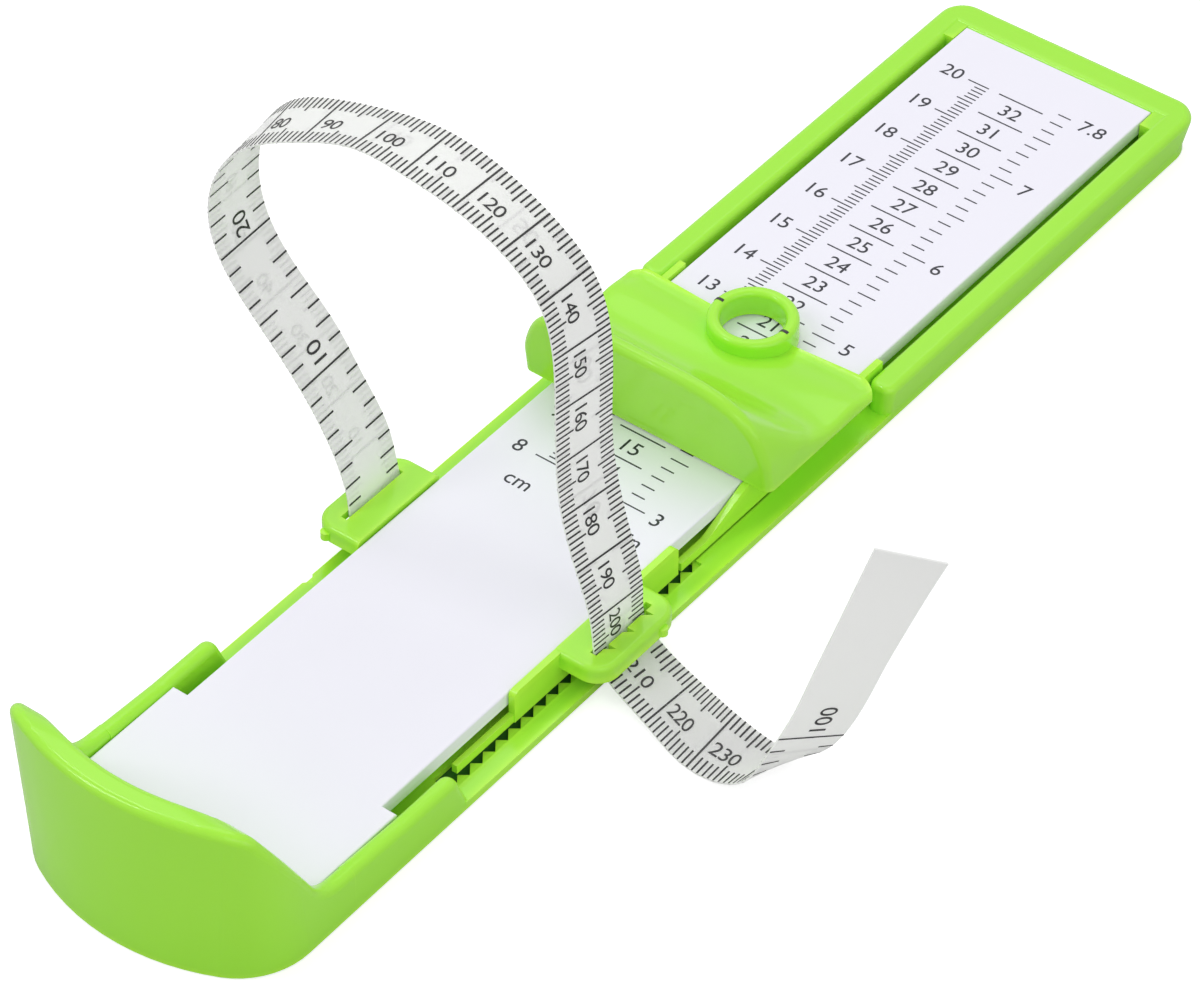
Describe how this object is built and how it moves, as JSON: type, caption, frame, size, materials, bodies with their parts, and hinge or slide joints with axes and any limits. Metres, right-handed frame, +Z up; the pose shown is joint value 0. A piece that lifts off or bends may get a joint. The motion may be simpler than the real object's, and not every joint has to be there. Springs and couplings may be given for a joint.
{
  "type": "foot measuring device",
  "caption": "Foot measuring device: heel cup and rails, printed scale plate, sliding toe stop with a reading ring, and a girth carrier with a flexible measuring tape",
  "frame": {"origin": "middle of the resting face under the heel line: X = 0 on the centre line, Y = 0 where the heel touches the cup, Z = 0 on the table", "axes": "+X to the right seen from the heel, +Y from heel to toe, +Z up"},
  "size_m": [0.1308, 0.2525, 0.0846],
  "materials": {
    "green_plastic": "smooth moulded gloss, lime green",
    "white_plastic": "smooth satin white, printed in black",
    "tape_plastic": "thin satin off-white tape, printed in black on both faces"
  },
  "bodies": {
    "base": {"base_frame": "green_plastic", "scale_plate": "white_plastic"},
    "slider": {"toe_slider": "green_plastic"},
    "carrier": {"girth_carrier": "green_plastic", "measuring_tape": "tape_plastic"}
  },
  "joints": [
    {"name": "toe_slide", "type": "slide", "parent": "base", "child": "slider", "axis": [0, 1, 0], "range_m": [-0.0003, 0.0764]},
    {"name": "girth_slide", "type": "slide", "parent": "base", "child": "carrier", "axis": [0, 1, 0], "range_m": [-0.014, 0.0003]}
  ]
}
